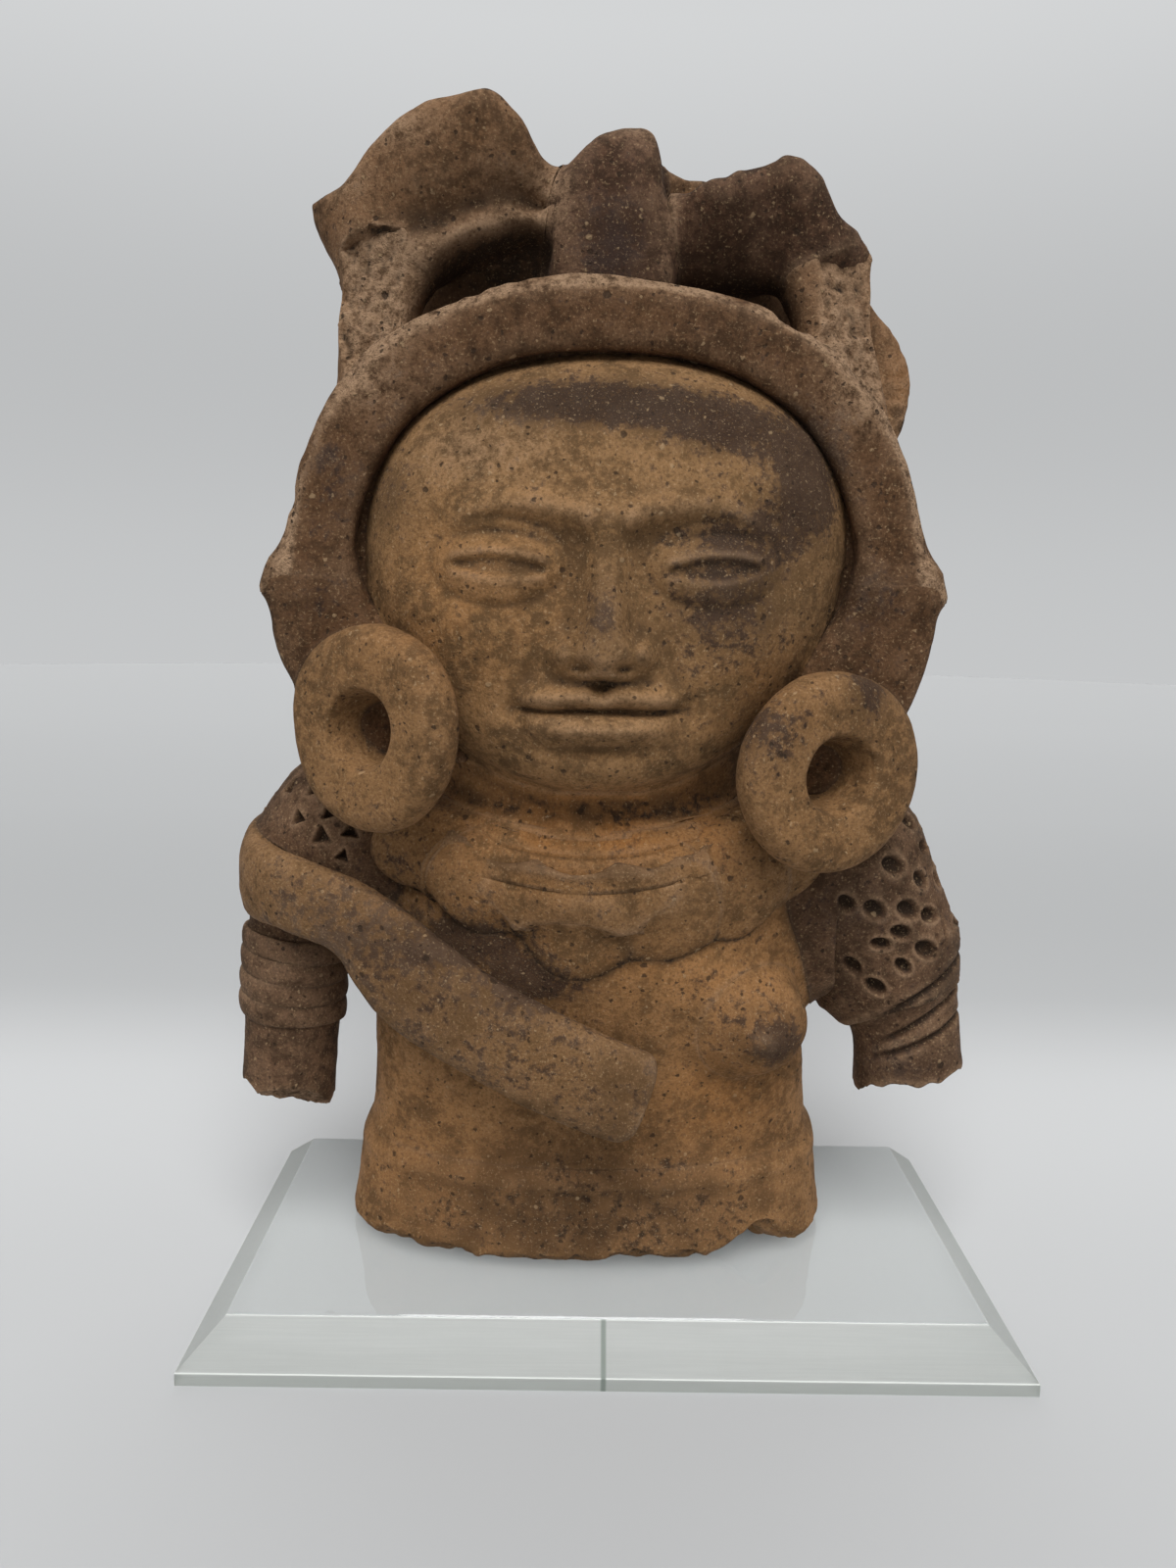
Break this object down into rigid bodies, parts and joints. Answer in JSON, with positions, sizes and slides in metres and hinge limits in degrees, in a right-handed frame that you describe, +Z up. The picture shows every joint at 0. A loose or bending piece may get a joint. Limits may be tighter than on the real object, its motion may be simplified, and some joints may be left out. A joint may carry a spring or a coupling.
{
  "type": "terracotta bust on an acrylic base",
  "caption": "Hollow hand-built terracotta bust of a figure in a hooded headdress with ear spools and a sash, lifting off a post on a bevelled clear base.",
  "frame": {"origin": "middle of the underside of the clear base, which is the middle of the whole object seen from above", "axes": "+Z up, the face towards -Y, +X to the viewer's right as one faces the bust"},
  "size_m": [0.2032, 0.1124, 0.2958],
  "materials": {
    "clay_body": "unglazed, matt, slightly gritty",
    "clay_head": "unglazed, matt, slightly gritty",
    "clay_hood": "unglazed, matt, burnt darker",
    "clay_crown": "unglazed, matt, burnt darker",
    "clay_dark": "unglazed, matt, burnt dark",
    "clay_applied": "unglazed, matt, slightly gritty",
    "clay_arm": "unglazed, matt, slightly gritty",
    "acrylic": "clear, polished",
    "steel": "satin",
    "sleeve": "soft, translucent"
  },
  "bodies": {
    "stand": {"acrylic_base": "acrylic", "base_screw": "steel", "mount_post": "steel", "post_sleeve": "sleeve"},
    "bust": {"trunk_front": "clay_body", "trunk_back": "clay_body", "skirt_wrap": "clay_body", "neck_tube": "clay_body", "breast_pad": "clay_body", "face_shell": "clay_head", "head_back": "clay_head", "hood_shell": "clay_hood", "brim_arch": "clay_hood", "lappet_left": "clay_hood", "lappet_right": "clay_hood", "crown_bowl": "clay_crown", "crown_horn": "clay_crown", "crown_lobe": "clay_dark", "crown_knob": "clay_dark", "back_flange": "clay_crown", "crown_strut_left": "clay_crown", "crown_strut_right": "clay_crown", "shoulder_left": "clay_arm", "shoulder_right": "clay_arm", "arm_left": "clay_arm", "arm_right": "clay_arm", "collar_upper": "clay_applied", "collar_lower": "clay_applied", "shoulder_sash": "clay_applied", "ear_spool_left": "clay_applied", "ear_spool_right": "clay_applied", "bib_lobe_1": "clay_applied", "bib_lobe_2": "clay_applied", "bib_lobe_3": "clay_applied", "bib_lobe_4": "clay_applied", "bib_lobe_5": "clay_applied", "bib_lobe_6": "clay_applied", "armband_1": "clay_arm", "armband_2": "clay_arm", "armband_3": "clay_arm", "armband_4": "clay_arm"}
  },
  "joints": [
    {"name": "bust_lift", "type": "slide", "parent": "stand", "child": "bust", "axis": [0, 0, 1], "range_m": [0, 0.08]}
  ]
}
